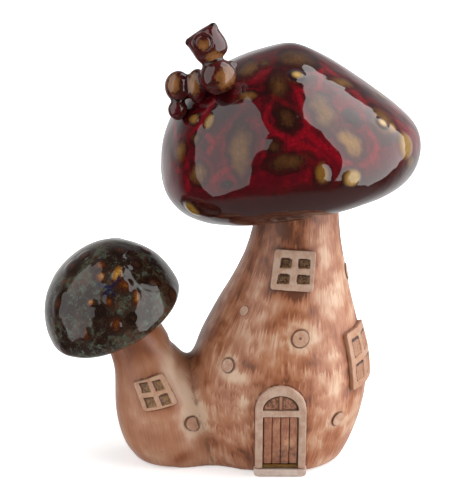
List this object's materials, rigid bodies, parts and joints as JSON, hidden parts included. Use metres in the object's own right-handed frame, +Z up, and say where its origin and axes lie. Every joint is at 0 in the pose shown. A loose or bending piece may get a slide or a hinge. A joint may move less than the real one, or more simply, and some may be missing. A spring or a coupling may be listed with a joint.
{
  "type": "mushroom house ornament",
  "caption": "Glazed porcelain ornament: a large mushroom house with door, windows and a grub on its cap, joined to a small leaning mushroom.",
  "frame": {"origin": "on the floor, under the middle of the whole ornament's box", "axes": "+Z up; the door faces -Y; the small mushroom is on -X"},
  "size_m": [0.17, 0.1176, 0.206],
  "materials": {
    "stem_clay": "brushed oxide stain under a satin glaze",
    "cream_clay": "pale satin glaze",
    "knot_clay": "brushed oxide stain under a satin glaze",
    "door_stain": "brown stain, satin",
    "amber_glaze": "glossy amber glaze",
    "red_glaze": "glossy burgundy reactive glaze with red veins and ochre pools",
    "green_glaze": "glossy dark brown glaze with green crystalline veins and amber pools",
    "ochre_glaze": "glossy ochre glaze",
    "dark_glaze": "glossy dark brown glaze"
  },
  "bodies": {
    "root": {"large_stem": "stem_clay", "small_stem": "stem_clay", "large_cap": "red_glaze", "small_cap": "green_glaze", "door_frame": "cream_clay", "door_leaf": "door_stain", "door_sill": "amber_glaze", "doorstep": "cream_clay", "fanlight": "door_stain", "upper_window": "cream_clay", "side_window": "cream_clay", "small_window": "cream_clay", "knot_brow": "knot_clay", "knot_left": "knot_clay", "knot_right": "knot_clay", "knot_high_left": "knot_clay", "knot_high_right": "knot_clay", "knot_small_stem": "knot_clay", "spot_crown": "ochre_glaze", "spot_right": "ochre_glaze", "spot_edge": "ochre_glaze", "spot_low_right": "ochre_glaze", "spot_low": "ochre_glaze", "spot_low_left": "ochre_glaze", "spot_left": "ochre_glaze", "spot_back_left": "ochre_glaze", "spot_back": "ochre_glaze", "spot_back_right": "ochre_glaze", "spot_small_low": "amber_glaze", "spot_small_left": "amber_glaze", "spot_small_right": "amber_glaze", "spot_small_back": "amber_glaze", "grub_head": "ochre_glaze", "grub_nose": "dark_glaze", "grub_horn_left": "dark_glaze", "grub_horn_right": "dark_glaze", "grub_chest": "ochre_glaze", "grub_arm": "ochre_glaze", "grub_middle": "ochre_glaze", "grub_rear": "ochre_glaze", "grub_tail": "dark_glaze"}
  },
  "joints": []
}
